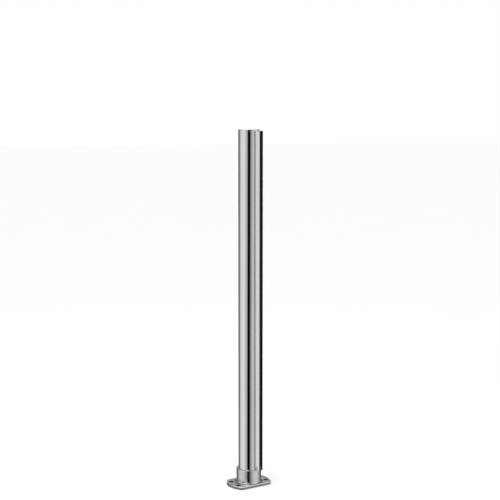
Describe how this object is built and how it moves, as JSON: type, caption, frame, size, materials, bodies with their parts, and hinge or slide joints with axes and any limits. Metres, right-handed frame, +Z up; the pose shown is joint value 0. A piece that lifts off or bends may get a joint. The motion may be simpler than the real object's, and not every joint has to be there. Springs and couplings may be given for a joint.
{
  "type": "lift-out bollard",
  "caption": "Polished steel barrier post that lifts out of a floor-flanged socket collar, with a gasketed panel channel down one side and a keyed cam lock at the back.",
  "frame": {"origin": "on the post's axis, at the underside of the base plate", "axes": "+Z up along the post, +X along the base plate's long axis, -Y towards the side that carries the panel channel, which is turned 16 degrees from -Y towards +X; the lock faces +Y"},
  "size_m": [0.128, 0.0906, 1.03],
  "materials": {
    "polished_steel": "mirror-polished stainless steel, faint drawn grain along the tube",
    "satin_steel": "satin stainless steel, pickled at the welds",
    "black_rubber": "matt black EPDM, fine extrusion grain",
    "white_nylon": "natural turned nylon",
    "black_nylon": "fine matt moulded nylon",
    "brass": "turned brass, slightly dulled"
  },
  "bodies": {
    "base": {"base_plate": "polished_steel", "socket_collar": "polished_steel", "collar_weld": "satin_steel", "spigot_tube": "satin_steel", "spigot_weld": "satin_steel", "spigot_cap": "satin_steel", "cross_pin": "satin_steel", "lower_guide_ring": "white_nylon", "upper_guide_ring": "white_nylon", "seat_gasket": "black_rubber", "collar_seal": "black_rubber", "catch_bracket": "satin_steel", "bracket_screws": "satin_steel"},
    "post": {"post_tube": "polished_steel", "top_cap": "polished_steel", "cap_oring": "black_rubber", "channel_profile": "polished_steel", "panel_gasket": "black_rubber", "channel_stop": "black_nylon", "channel_screws": "satin_steel", "rivet_nuts": "brass", "lock_saddle": "polished_steel", "lock_housing": "polished_steel", "lock_washer": "satin_steel", "lock_nut": "satin_steel", "cover_pin": "satin_steel"},
    "lock_core": {"lock_plug": "brass", "lock_cam": "satin_steel", "cam_screw": "satin_steel"},
    "cover": {"cover_flap": "polished_steel"}
  },
  "joints": [
    {"name": "post_lift", "type": "slide", "parent": "base", "child": "post", "axis": [0, 0, 1], "range_m": [0, 0.22]},
    {"name": "lock_turn", "type": "hinge", "parent": "post", "child": "lock_core", "pos_m": [0, 0.03415, 0.182], "axis": [0, -1, 0], "range_deg": [0, 90]},
    {"name": "cover_swing", "type": "hinge", "parent": "post", "child": "cover", "pos_m": [0, 0.03455, 0.2], "axis": [0, 1, 0], "range_deg": [0, 110]}
  ]
}
